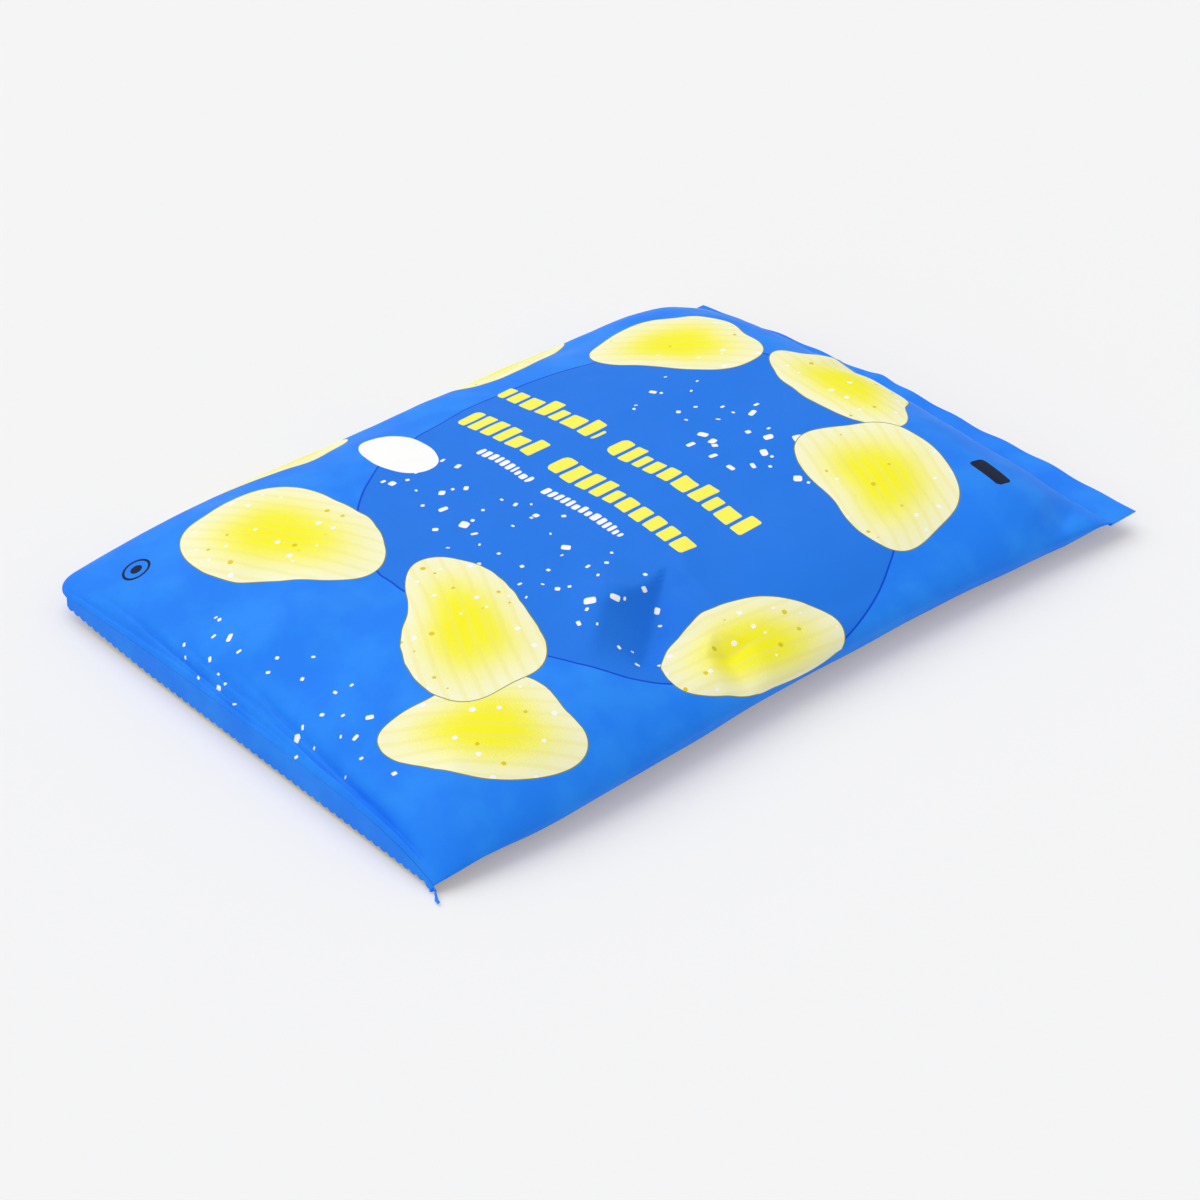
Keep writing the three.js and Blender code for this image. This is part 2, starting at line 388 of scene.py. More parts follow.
# %% [markdown]
# Next comes the unrolled sheet. A point's place on it is how far one has to walk over the film to reach
# it: sideways from the middle line, and upwards from the bottom crease. Walking along the mesh and adding
# up the steps gives nearly that. Each walk is then scaled, so that a whole one is as long as the sheet, and
# the print stretches only a little over the swelling.

# %% The place of every point on the flat sheet, in millimetres
SHEET_LENGTH = 278.0


def walked(points, axis):
    steps = np.linalg.norm(np.diff(points, axis=axis), axis=-1)
    total = np.cumsum(steps, axis=axis)
    return np.insert(total, 0, 0, axis=axis)


def sheet_places(points):
    sideways = walked(points, axis=1)
    middle = sideways[:, [points.shape[1] // 2]]
    sideways = (sideways - middle) / (sideways[:, [-1]] / (2 * HALF))
    upwards = walked(points, axis=0)
    upwards = upwards / upwards[-1:, :] * SHEET_LENGTH
    return np.stack([sideways, upwards], axis=-1)


front_sheet = sheet_places(front)
back_sheet = sheet_places(back)
right_half = back_sheet[..., 0] > 0
back_sheet[..., 0] = np.where(right_half, 2 * HALF - back_sheet[..., 0], -2 * HALF - back_sheet[..., 0])
print(f"the sheet is {SHEET_LENGTH:.0f} mm long between its seams")


# %% Join the grids into one closed mesh
def closed_film(name):
    under = back[:, ::-1]
    under_sheet = back_sheet[:, ::-1]
    rings = np.concatenate([front, under], axis=1)
    sheet = np.concatenate([front_sheet, under_sheet], axis=1)
    ring_count, size = rings.shape[:2]
    index = np.arange(ring_count * size).reshape(ring_count, size)
    turned = np.roll(index, -1, axis=1)
    quads = np.stack([index[:-1], turned[:-1], turned[1:], index[1:]], axis=-1).reshape(-1, 4)
    faces = quads.tolist() + end_cap(index[0], flip=True) + end_cap(index[-1], flip=False)
    mesh = bpy.data.meshes.new(name)
    mesh.from_pydata(rings.reshape(-1, 3) * MM, [], faces)
    mesh.validate()
    mesh.shade_smooth()
    return mesh, sheet.reshape(-1, 2)


def end_cap(ring, flip):
    top = ring[: FRONT_CELLS + 1].tolist()
    bottom = ring[FRONT_CELLS + 1 :][::-1].tolist()
    caps = []
    for cell in range(BACK_CELLS):
        cap = [bottom[cell], bottom[cell + 1], top[2 * cell + 2], top[2 * cell + 1], top[2 * cell]]
        caps.append(cap[::-1] if flip else cap)
    return caps


body_mesh, body_sheet = closed_film("bag_film")
bag_film = bpy.data.objects.new("bag_film", body_mesh)
bpy.context.scene.collection.objects.link(bag_film)
print(f"bag_film has {len(body_mesh.polygons)} faces")

# %% [markdown]
# The print is a plain design of this lesson's own: a blue ground, one large rounded field of darker blue,
# pale slices with a yellow middle, salt flakes, and rows of blocks, an oval, a ring and a bar where a pack
# has its words and marks. Each large shape is drawn as a distance: how far a point lies inside its edge, in
# millimetres. The mesh stores that distance at every point, and the material turns it into a crisp edge at
# any zoom, as a stencil would.

# %% Shapes as distances from their edge, positive inside
FAR_OUTSIDE = -50.0
NEVER_ZERO = 1e-6


def blob(s, t, centre, radii, degrees=0.0, lobes=()):
    p, q = turned_by(s, t, centre, degrees)
    angle = np.arctan2(q / radii[1], p / radii[0])
    reach = 1.0
    for count, size, shift in lobes:
        reach = reach + size * np.cos(count * angle + shift)
    out = np.sqrt((p / radii[0]) ** 2 + (q / radii[1]) ** 2) + NEVER_ZERO
    slope = np.sqrt((p / radii[0] ** 2) ** 2 + (q / radii[1] ** 2) ** 2) + NEVER_ZERO
    return (reach - out) * out / slope, out / reach


def panel(s, t, centre, size, radius):
    off_s = np.abs(s - centre[0]) - size[0] / 2 + radius
    off_t = np.abs(t - centre[1]) - size[1] / 2 + radius
    outside = np.hypot(np.maximum(off_s, 0), np.maximum(off_t, 0))
    return radius - outside - np.minimum(np.maximum(off_s, off_t), 0)


# %% The printed slices: centre, half sizes, turn, and the lobes that make each edge wavy
LOW_SLICES = [
    ((-47, 57), (34, 25), 22, ((2, 0.06, 1.1), (3, 0.09, 0.4), (5, 0.03, 2.0))),
    ((66, 44), (27, 19), 48, ((3, 0.09, 2.2), (4, 0.05, 0.3))),
    ((86, 130), (29, 18), 84, ((2, 0.08, 0.5), (3, 0.07, 1.9))),
    ((6, 244), (30, 18), -6, ((2, 0.07, 2.6), (3, 0.10, 1.2), (5, 0.03, 0.6))),
    ((-100, 88), (27, 17), 78, ((3, 0.09, 1.5),)),
    ((-88, 266), (25, 15), 12, ((2, 0.08, 0.2), (3, 0.07, 2.8))),
    ((150, 60), (32, 24), 30, ((3, 0.10, 0.9), (5, 0.03, 1.0))),
    ((-150, 205), (30, 24), -20, ((3, 0.09, 2.1), (4, 0.04, 0.2))),
]
HIGH_SLICES = [
    ((30, 66), (31, 21), -24, ((2, 0.07, 0.4), (3, 0.10, 2.9), (5, 0.03, 1.7))),
    ((52, 214), (31, 23), -18, ((3, 0.09, 1.0), (4, 0.05, 2.4))),
    ((-50, 222), (28, 21), 38, ((3, 0.10, 1.9), (5, 0.035, 0.2))),
    ((-98, 184), (27, 18), 96, ((3, 0.08, 0.6),)),
    ((170, 230), (28, 22), 60, ((3, 0.10, 2.4), (5, 0.03, 0.1))),
]


def slices(s, t, shapes):
    edge = np.full_like(s, FAR_OUTSIDE)
    middle = np.zeros_like(s)
    ridge = np.zeros_like(s)
    for centre, radii, degrees, lobes in shapes:
        distance, out = blob(s, t, centre, radii, degrees, lobes)
        nearest = distance > edge
        edge = np.where(nearest, distance, edge)
        middle = np.maximum(middle, np.clip(1.15 - out, 0, 1.2))
        ridge = np.where(nearest, turned_by(s, t, centre, degrees)[1], ridge)
    return edge, middle, ridge


# %% The field, the panel on the back, and what stands where a pack has its words and marks
# centre, half sizes, turn and lobes
FIELD = ((12, 150), (80, 92), 24, ((2, 0.03, 0.4), (3, 0.04, 1.6)))
OVAL = ((-60, 112), (17, 9.5), -4)
RING = ((-76, 21), (4.4, 4.4))
# centre, size and corner radius
BACK_PANEL = ((-140, 95), (74, 96), 4)
BAR = ((68, 247), (13, 7), 1.5)
# the height of the middle of the row, the height of its letters, and where each word starts and ends
TITLE_ROWS = [(163, 9.5, [(-70, -22), (-15, 50)]), (142, 9.5, [(-64, -26), (-19, 46)])]
SUBTITLE_ROWS = [(129.5, 3.6, [(-42, -16), (-10, 26)])]


def bar_rows(s, t, lines):
    edge = np.full_like(s, FAR_OUTSIDE)
    for middle, height, spans in lines:
        for left, right in spans:
            word = panel(s, t, ((left + right) / 2, middle), (right - left, height), height / 4)
            edge = np.maximum(edge, word)
    return edge


def draw_print(mesh, sheet):
    s, t = sheet[:, 0], sheet[:, 1]
    layers = {
        "field": blob(s, t, *FIELD)[0],
        "title": bar_rows(s, t, TITLE_ROWS),
        "subtitle": bar_rows(s, t, SUBTITLE_ROWS),
        "oval": blob(s, t, *OVAL)[0],
        "panel": panel(s, t, *BACK_PANEL),
        "ring": blob(s, t, *RING)[0],
        "plate": panel(s, t, *BAR),
    }
    for name, shapes in (("low", LOW_SLICES), ("high", HIGH_SLICES)):
        edge, middle, ridge = slices(s, t, shapes)
        layers.update({name + "_edge": edge, name + "_middle": middle, name + "_ridge": ridge})
    for layer, values in layers.items():
        attribute = mesh.attributes.new(layer, "FLOAT", "POINT")
        attribute.data.foreach_set("value", values.astype(np.float32))
    return layers


layers = draw_print(body_mesh, body_sheet)
print("print layers:", ", ".join(layers))


# %% The sheet as a UV map, in metres on the flat film
def store_sheet(mesh, sheet):
    corners = np.empty(len(mesh.loops), np.int32)
    mesh.loops.foreach_get("vertex_index", corners)
    uv = mesh.uv_layers.new(name="flat_sheet")
    uv.data.foreach_set("uv", (sheet[corners] * MM).astype(np.float32).ravel())


store_sheet(body_mesh, body_sheet)
print("the flat sheet is stored as a UV map")

# %% [markdown]
# Matte printed film is a plastic with ink under a dull lacquer: colour in the base, a soft broad highlight
# and a very fine grain. Small helpers keep the node tree readable: one makes a node, one lays a colour over
# another through a stencil, and one turns a stored distance into such a stencil.

# %% Helpers for materials
def colour(red, green, blue):
    def to_linear(value):
        value = value / 255
        return value / 12.92 if value <= 0.04045 else ((value + 0.055) / 1.055) ** 2.4

    return (to_linear(red), to_linear(green), to_linear(blue), 1.0)


class Paint:
    """Adds nodes to one material, each laid over what came before."""

    def __init__(self, name):
        self.material = bpy.data.materials.new(name)
        self.material.use_nodes = True
        self.tree = self.material.node_tree
        self.tree.nodes.clear()

    def node(self, kind, **settings):
        node = self.tree.nodes.new(kind)
        for key, value in settings.items():
            setattr(node, key, value)
        return node

    def link(self, source, socket):
        self.tree.links.new(source, socket)

    def put(self, socket, value):
        if isinstance(value, bpy.types.NodeSocket):
            self.link(value, socket)
        else:
            socket.default_value = value

    def math(self, operation, first, second=0.0):
        node = self.node("ShaderNodeMath", operation=operation)
        self.put(node.inputs[0], first)
        self.put(node.inputs[1], second)
        return node.outputs[0]

    def vector(self, operation, first, second):
        node = self.node("ShaderNodeVectorMath", operation=operation)
        self.put(node.inputs[0], first)
        self.put(node.inputs[1], second)
        return node.outputs[0]

    def ramp(self, value, low, high, to_low=0.0, to_high=1.0):
        node = self.node("ShaderNodeMapRange", interpolation_type="SMOOTHSTEP")
        for socket, amount in zip(node.inputs[:5], (value, low, high, to_low, to_high)):
            self.put(socket, amount)
        return node.outputs[0]

    def over(self, base, top, mask):
        node = self.node("ShaderNodeMix", data_type="RGBA")
        self.put(node.inputs["Factor"], mask)
        self.put(node.inputs["A"], base)
        self.put(node.inputs["B"], top)
        return node.outputs["Result"]

    def round_minimum(self, first, second, radius):
        node = self.math("SMOOTH_MIN", first, second).node
        self.put(node.inputs[2], radius)
        return node.outputs[0]

    def noise(self, places, scale, detail, **settings):
        node = self.node("ShaderNodeTexNoise", **settings)
        self.put(node.inputs["Vector"], places)
        self.put(node.inputs["Scale"], scale)
        self.put(node.inputs["Detail"], detail)
        return node.outputs[0]

    def cells(self, places, scale):
        """Uneven cells: the node itself, and three random numbers for each cell."""
        node = self.node("ShaderNodeTexVoronoi", voronoi_dimensions="2D")
        self.put(node.inputs["Vector"], places)
        self.put(node.inputs["Scale"], scale)
        random = self.node("ShaderNodeSeparateColor")
        self.put(random.inputs[0], node.outputs["Color"])
        return node, random.outputs

    def layer(self, name):
        return self.node("ShaderNodeAttribute", attribute_name=name).outputs["Fac"]

    def stencil(self, distance, at=0.0, blur=0.08):
        return self.ramp(distance, at - blur, at + blur)


# Distances and places in the print are in millimetres on the flat sheet.
BLUE = colour(32, 128, 245)
# a lighter blue, laid on the blue ground as painted highlights
PAINTED_HIGHLIGHT_BLUE = colour(46, 148, 250)
DEEP_BLUE = colour(32, 120, 230)
FIELD_LINE = colour(0, 70, 208)
PALE = colour(247, 245, 208)
STRAW = colour(240, 230, 120)
YELLOW = colour(248, 242, 40)
TITLE_YELLOW = colour(250, 244, 92)
WHITE = colour(250, 250, 248)
NAVY = colour(20, 30, 56)
OLIVE = colour(120, 132, 60)
OCHRE = colour(222, 204, 20)


# %% A slice of the print: pale and ridged, with a stippled yellow middle and a thin line round it
RIDGE_PITCH = 4.6
RIDGE_STRENGTH = 0.3
STIPPLE_SCALE = 3.0
STIPPLE_STRENGTH = 0.9
# cells for each millimetre, smallest and largest radius in cells, and the share of cells with a dot
OCHRE_DOTS = (0.11, 0.03, 0.09, 0.3)
WHITE_DOTS = (0.12, 0.05, 0.11, 0.45)
LINE_WIDTH = 0.3


def lay_slices(paint, base, places, name):
    edge = paint.layer(name + "_edge")
    stipple = paint.noise(places, STIPPLE_SCALE, 1.0, noise_dimensions="2D")
    grain = paint.math("MULTIPLY", paint.math("SUBTRACT", stipple, 0.5), STIPPLE_STRENGTH)
    middle = paint.math("ADD", paint.layer(name + "_middle"), grain)
    body = paint.over(PALE, YELLOW, paint.ramp(middle, 0.15, 0.85))
    turns = paint.math("MULTIPLY", paint.layer(name + "_ridge"), 2 * math.pi / RIDGE_PITCH)
    body = paint.over(body, STRAW, paint.ramp(paint.math("SINE", turns), 0.2, 1.0, 0.0, RIDGE_STRENGTH))
    body = paint.over(body, OCHRE, dots(paint, places, *OCHRE_DOTS))
    body = paint.over(body, WHITE, dots(paint, places, *WHITE_DOTS))
    body = paint.over(OLIVE, body, paint.stencil(edge, LINE_WIDTH))
    return paint.over(base, body, paint.stencil(edge))


def dots(paint, places, scale, smallest, largest, share):
    """Small round marks, one at most in each cell of an uneven grid."""
    cells, random = paint.cells(places, scale)
    size = paint.ramp(random[0], 0.0, 1.0, smallest, largest)
    near = paint.math("LESS_THAN", cells.outputs["Distance"], size)
    kept = paint.math("LESS_THAN", random[1], share)
    return paint.math("MULTIPLY", near, kept)


# %% Salt flakes: turned, uneven, rounded squares that lie inside an oval of the sheet
SALT_SCALE = 0.15
SALT_SIZE = (0.55, 1.7)
SALT_SQUEEZE = (0.9, 1.9)
SALT_ROUNDNESS = 4.0
# centre and half sizes of the oval, and the share of its cells that hold a flake
SALT_AREAS = [((8, 106), (72, 20), 0.6), ((10, 14), (52, 17), 0.55), ((-4, 194), (46, 18), 0.6)]


def lay_salt(paint, base, places, centre, radii, share):
    cells, random = paint.cells(places, SALT_SCALE)
    offset = paint.vector("SUBTRACT", places, cells.outputs["Position"])
    spin = paint.node("ShaderNodeVectorRotate", rotation_type="Z_AXIS")
    paint.put(spin.inputs["Vector"], offset)
    paint.put(spin.inputs["Angle"], paint.math("MULTIPLY", random[0], 2 * math.pi))
    sides = paint.node("ShaderNodeSeparateXYZ")
    paint.put(sides.inputs[0], spin.outputs[0])
    squeeze = paint.ramp(random[2], 0.0, share, *SALT_SQUEEZE)
    long_side = paint.math("ABSOLUTE", sides.outputs[0])
    short_side = paint.math("MULTIPLY", paint.math("ABSOLUTE", sides.outputs[1]), squeeze)
    powers = [paint.math("POWER", side, SALT_ROUNDNESS) for side in (long_side, short_side)]
    out = paint.math("POWER", paint.math("ADD", *powers), 1 / SALT_ROUNDNESS)
    size = paint.ramp(paint.math("POWER", random[1], 2.0), 0.0, 1.0, *SALT_SIZE)
    flake = paint.stencil(paint.math("SUBTRACT", size, out))
    away = paint.vector("SUBTRACT", cells.outputs["Position"], (centre[0], centre[1], 0.0))
    scaled = paint.vector("DIVIDE", away, (radii[0], radii[1], 1.0))
    distance = paint.node("ShaderNodeVectorMath", operation="LENGTH")
    paint.put(distance.inputs[0], scaled)
    inside = paint.math("LESS_THAN", distance.outputs["Value"], 1.0)
    kept = paint.math("LESS_THAN", random[2], share)
    mask = paint.math("MULTIPLY", paint.math("MULTIPLY", inside, kept), flake)
    return paint.over(base, WHITE, mask)


# %% The film's finish, which every piece of the bag shares, and the blue ground with its painted highlights
# Scales are in features for each metre.
GRAIN_SCALE = 900.0
GRAIN_DEPTH = 0.2 * MM
GRAIN_STRENGTH = 0.12
CLOUD_SCALE = 28.0
ROUGHNESS = (0.5, 0.6)
DULLNESS = 0.1
# The blue ground is lightened in soft areas of this scale: painted highlights, which stand in for the light
# on faint puckers.
HIGHLIGHT_PATCH_SCALE = 70.0
HIGHLIGHT_PATCH_STRENGTH = 0.5


def film_finish(paint, base):
    place = paint.node("ShaderNodeTexCoord").outputs["Object"]
    clouds = paint.noise(place, CLOUD_SCALE, 3.0)
    bump = paint.node("ShaderNodeBump")
    paint.put(bump.inputs["Strength"], GRAIN_STRENGTH)
    paint.put(bump.inputs["Distance"], GRAIN_DEPTH)
    paint.put(bump.inputs["Height"], paint.noise(place, GRAIN_SCALE, 2.0))
    shader = paint.node("ShaderNodeBsdfPrincipled")
    paint.put(shader.inputs["Base Color"], base)
    paint.put(shader.inputs["Roughness"], paint.ramp(clouds, 0.3, 0.7, *ROUGHNESS))
    paint.put(shader.inputs["Specular IOR Level"], DULLNESS)
    paint.put(shader.inputs["Normal"], bump.outputs[0])
    output = paint.node("ShaderNodeOutputMaterial")
    paint.link(shader.outputs[0], output.inputs["Surface"])
    return paint.material


def blue_with_painted_highlights(paint):
    """The blue ink with soft lighter areas, painted highlights that stand in for the light on faint
    puckers.
    """
    painted_highlights = paint.noise(paint.node("ShaderNodeTexCoord").outputs["Object"], HIGHLIGHT_PATCH_SCALE, 3.0)
    return paint.over(BLUE, PAINTED_HIGHLIGHT_BLUE, paint.ramp(painted_highlights, 0.35, 0.7, 0.0, HIGHLIGHT_PATCH_STRENGTH))


# %% Blocks in rows, as wide and as high as letters
ROW_STEP = 10.5
ROW_SHIFT = 7.3
BLOCK_UNEVENNESS = 0.7
BLOCK_ROUNDING = 1.2
# layer, pitch of the blocks, gap between them, and how high the low ones stand in their row
TITLE_BLOCKS = ("title", 6.6, 1.5, 7.7)
SUBTITLE_BLOCKS = ("subtitle", 2.7, 0.8, 4.4)


def lay_letters(paint, places, words, pitch, gap, low_top):
    """Cuts long bars into blocks as wide as letters, about half of them lower than the rest."""
    place = paint.node("ShaderNodeSeparateXYZ")
    paint.put(place.inputs[0], places)
    row = paint.math("FLOOR", paint.math("DIVIDE", place.outputs[1], ROW_STEP))
    above = paint.math("SUBTRACT", place.outputs[1], paint.math("MULTIPLY", row, ROW_STEP))
    shift = paint.math("MULTIPLY", row, ROW_SHIFT)
    run = paint.math("ADD", paint.math("DIVIDE", place.outputs[0], pitch), shift)
    cells = paint.node("ShaderNodeTexVoronoi", voronoi_dimensions="1D")
    edges = paint.node("ShaderNodeTexVoronoi", voronoi_dimensions="1D", feature="DISTANCE_TO_EDGE")
    for blocks in (cells, edges):
        paint.put(blocks.inputs["W"], run)
        paint.put(blocks.inputs["Scale"], 1.0)
        paint.put(blocks.inputs["Randomness"], BLOCK_UNEVENNESS)
    random = paint.node("ShaderNodeSeparateColor")
    paint.put(random.inputs[0], cells.outputs["Color"])
    beside = paint.math("SUBTRACT", paint.math("MULTIPLY", edges.outputs[0], pitch), gap / 2)
    tall = paint.math("MULTIPLY", paint.math("GREATER_THAN", random.outputs[0], 0.5), ROW_STEP)
    below = paint.math("ADD", paint.math("SUBTRACT", low_top, above), tall)
    inside = paint.round_minimum(beside, below, BLOCK_ROUNDING)
    return paint.stencil(paint.round_minimum(paint.layer(words), inside, BLOCK_ROUNDING))


# %% The whole print, laid on in the order of the printer's inks
FIELD_LINE_WIDTH = 0.3
RING_LINE_WIDTH = 0.45
RING_DOT_INSET = 2.4


def printed_film():
    paint = Paint("printed_film")
    sheet = paint.node("ShaderNodeUVMap", uv_map="flat_sheet").outputs[0]
    scale = paint.node("ShaderNodeMapping")
    paint.put(scale.inputs["Vector"], sheet)
    paint.put(scale.inputs["Scale"], (1 / MM, 1 / MM, 1.0))
    places = scale.outputs[0]
    field = paint.layer("field")
    # the blue ground carries painted highlights
    base = paint.over(blue_with_painted_highlights(paint), DEEP_BLUE, paint.stencil(field))
    line = paint.math("SUBTRACT", FIELD_LINE_WIDTH, paint.math("ABSOLUTE", field))
    base = paint.over(base, FIELD_LINE, paint.stencil(line, 0.0, 0.12))
    for centre, radii, share in SALT_AREAS:
        base = lay_salt(paint, base, places, centre, radii, share)
    base = paint.over(base, TITLE_YELLOW, lay_letters(paint, places, *TITLE_BLOCKS))
    base = paint.over(base, WHITE, lay_letters(paint, places, *SUBTITLE_BLOCKS))
    base = paint.over(base, WHITE, paint.stencil(paint.layer("oval")))
    base = paint.over(base, WHITE, paint.stencil(paint.layer("panel")))
    ring = paint.layer("ring")
    line = paint.math("SUBTRACT", RING_LINE_WIDTH, paint.math("ABSOLUTE", ring))
    base = paint.over(base, NAVY, paint.stencil(line))
    base = paint.over(base, NAVY, paint.stencil(ring, RING_DOT_INSET))
    base = paint.over(base, NAVY, paint.stencil(paint.layer("plate")))
    base = lay_slices(paint, base, places, "low")
    base = lay_slices(paint, base, places, "high")
    return film_finish(paint, base)


body_mesh.materials.append(printed_film())
seal_paint = Paint("seal_film")
# The seals share the blue ground and its painted highlights.
seal_film = film_finish(seal_paint, blue_with_painted_highlights(seal_paint))
print("materials:", [material.name for material in bpy.data.materials])

# %% [markdown]
# Both end seals and the fin seal are the same thing: a flat strip of film pressed together, with fine ribs
# from the sealing jaws. The knife leaves a row of small teeth along the bottom seal, and cuts the top seal
# straight. One node tree makes them all. It walks along a path, sets the strip's points beside it, cuts the
# teeth into its edge, presses in the ribs and gives the strip its thickness.

# %% The node tree that makes a sealed strip along a path
class Nodes:
    """Adds nodes to one Geometry Nodes tree."""

    def __init__(self, name):
        self.tree = bpy.data.node_groups.new(name, "GeometryNodeTree")
        self.tree.interface.new_socket("Geometry", in_out="INPUT", socket_type="NodeSocketGeometry")
        self.tree.interface.new_socket("Geometry", in_out="OUTPUT", socket_type="NodeSocketGeometry")
        self.inputs = self.tree.nodes.new("NodeGroupInput")
        self.outputs = self.tree.nodes.new("NodeGroupOutput")

    def size(self, name, kind="NodeSocketFloat"):
        self.tree.interface.new_socket(name, in_out="INPUT", socket_type=kind)
        return self.inputs.outputs[name]

    def node(self, kind, inputs=(), **settings):
        node = self.tree.nodes.new(kind)
        for key, value in settings.items():
            setattr(node, key, value)
        for socket, value in dict(inputs).items():
            if isinstance(value, bpy.types.NodeSocket):
                self.tree.links.new(value, node.inputs[socket])
            else:
                node.inputs[socket].default_value = value
        return node

    def math(self, operation, first, second=0.0):
        return self.node("ShaderNodeMath", {0: first, 1: second}, operation=operation).outputs[0]

    def vector(self, operation, first, second):
        return self.node("ShaderNodeVectorMath", {0: first, 1: second}, operation=operation).outputs[0]

    def scaled(self, vector, amount):
        return self.node("ShaderNodeVectorMath", {0: vector, "Scale": amount}, operation="SCALE").outputs[0]


def strip_tree():
    tree = Nodes("sealed_strip")
    pitch = tree.size("Tooth pitch")
    tooth = tree.size("Tooth depth")
    rib_pitch = tree.size("Rib pitch")
    rib = tree.size("Rib height")
    thickness = tree.size("Thickness")
    stations = tree.size("Stations", "NodeSocketInt")
    steps = tree.size("Steps", "NodeSocketInt")
    material = tree.size("Material", "NodeSocketMaterial")
    path = tree.node("GeometryNodeMeshToCurve", {0: tree.inputs.outputs["Geometry"]}).outputs[0]

    flat = tree.node(
        "GeometryNodeMeshGrid",
        {"Size X": 1.0, "Size Y": 1.0, "Vertices X": stations, "Vertices Y": steps},
    ).outputs["Mesh"]
    place = tree.node("ShaderNodeSeparateXYZ", {0: tree.node("GeometryNodeInputPosition").outputs[0]})
    along = tree.math("ADD", place.outputs[0], 0.5)
    out = tree.math("ADD", place.outputs[1], 0.5)
    outer = tree.node("GeometryNodeInputNamedAttribute", {"Name": "outer_edge"}, data_type="FLOAT_VECTOR")
    sample = tree.node(
        "GeometryNodeSampleCurve",
        {"Curves": path, "Value": outer.outputs[0], "Factor": along},
        mode="FACTOR",
        data_type="FLOAT_VECTOR",
    )
    inner_place = sample.outputs["Position"]
    across = tree.vector("SUBTRACT", sample.outputs["Value"], inner_place)
    width = tree.node("ShaderNodeVectorMath", {0: across}, operation="LENGTH").outputs["Value"]
    outwards = tree.node("ShaderNodeVectorMath", {0: across}, operation="NORMALIZE").outputs[0]
    upright = tree.vector("CROSS_PRODUCT", sample.outputs["Tangent"], outwards)
    facing = tree.node("ShaderNodeVectorMath", {0: upright}, operation="NORMALIZE").outputs[0]
    length = tree.node("GeometryNodeCurveLength", {0: path}).outputs[0]

    phase = tree.math("FRACT", tree.math("DIVIDE", tree.math("MULTIPLY", along, length), pitch))
    from_tip = tree.math("SUBTRACT", tree.math("MULTIPLY", phase, 2.0), 1.0)
    cut = tree.math("MULTIPLY", tree.math("POWER", tree.math("ABSOLUTE", from_tip), 2.0), tooth)
    cut = tree.math("MULTIPLY", cut, tree.math("POWER", out, 8.0))
    reach = tree.math("SUBTRACT", tree.math("MULTIPLY", out, width), cut)
    turns = tree.math("MULTIPLY", tree.math("DIVIDE", reach, rib_pitch), 2 * math.pi)
    relief = tree.math("MULTIPLY", tree.math("SINE", turns), rib)
    lift = tree.scaled(facing, relief)
    moved = tree.vector("ADD", tree.vector("ADD", inner_place, tree.scaled(outwards, reach)), lift)
    stored = tree.node(
        "GeometryNodeStoreNamedAttribute",
        {"Geometry": flat, "Name": "facing", "Value": facing},
        data_type="FLOAT_VECTOR",
        domain="POINT",
    ).outputs[0]
    shaped = tree.node("GeometryNodeSetPosition", {"Geometry": stored, "Position": moved}).outputs[0]

    away = tree.node("GeometryNodeInputNamedAttribute", {"Name": "facing"}, data_type="FLOAT_VECTOR")
    raised = tree.node(
        "GeometryNodeExtrudeMesh",
        {"Mesh": shaped, "Offset": away.outputs[0], "Offset Scale": thickness, "Individual": False},
    ).outputs["Mesh"]
    under = tree.node("GeometryNodeFlipFaces", {"Mesh": shaped}).outputs[0]
    joined = tree.node("GeometryNodeJoinGeometry")
    tree.tree.links.new(raised, joined.inputs[0])
    tree.tree.links.new(under, joined.inputs[0])
    closed = tree.node("GeometryNodeMergeByDistance", {"Geometry": joined.outputs[0], "Distance": 1e-6})
    solid = tree.node("GeometryNodeRealizeInstances", {"Geometry": closed.outputs[0]})
    dressed = tree.node("GeometryNodeSetMaterial", {"Geometry": solid.outputs[0], "Material": material})
    tree.tree.links.new(dressed.outputs[0], tree.outputs.inputs[0])
    return tree.tree


sealed_strip = strip_tree()
print(f"the strip tree has {len(sealed_strip.nodes)} nodes")


# %% Lay a strip between two lines and keep it as a plain mesh
SEAL_THICKNESS = 0.3
FINISH = {"Rib pitch": 1.5 * MM, "Rib height": 0.015 * MM, "Thickness": SEAL_THICKNESS * MM}
SMOOTH_EDGE = {"Tooth pitch": 5.0 * MM, "Tooth depth": 0.0}
TOOTHED_EDGE = {"Tooth pitch": 10 / 3 * MM, "Tooth depth": 0.9 * MM}


def guide(name, inner, outer):
    """The inner line as a chain of edges, which carries the outer line as an attribute."""
    mesh = bpy.data.meshes.new(name)
    mesh.from_pydata(inner * MM, [(i, i + 1) for i in range(len(inner) - 1)], [])
    line = mesh.attributes.new("outer_edge", "FLOAT_VECTOR", "POINT")
    line.data.foreach_set("vector", (outer * MM).astype(np.float32).ravel())
    path = bpy.data.objects.new(name, mesh)
    bpy.context.scene.collection.objects.link(path)
    return path


def lay_strip(name, inner, outer, stations, steps, edge):
    path = guide(name + "_guide", inner, outer)
    modifier = path.modifiers.new("strip", "NODES")
    modifier.node_group = sealed_strip
    sockets = {
        item.name: item.identifier
        for item in sealed_strip.interface.items_tree
        if item.in_out == "INPUT"
    }
    sizes = {**FINISH, **edge, "Stations": stations, "Steps": steps, "Material": seal_film}
    for label, value in sizes.items():
        modifier[sockets[label]] = value
    seen = path.evaluated_get(bpy.context.evaluated_depsgraph_get())
    mesh = bpy.data.meshes.new_from_object(seen)
    mesh.name = name
    mesh.shade_smooth()
    mesh.set_sharp_from_angle(angle=math.radians(50))
    strip = bpy.data.objects.new(name, mesh)
    bpy.context.scene.collection.objects.link(strip)
    bpy.data.objects.remove(path)
    print(f"{name} has {len(mesh.polygons)} faces")
    return strip


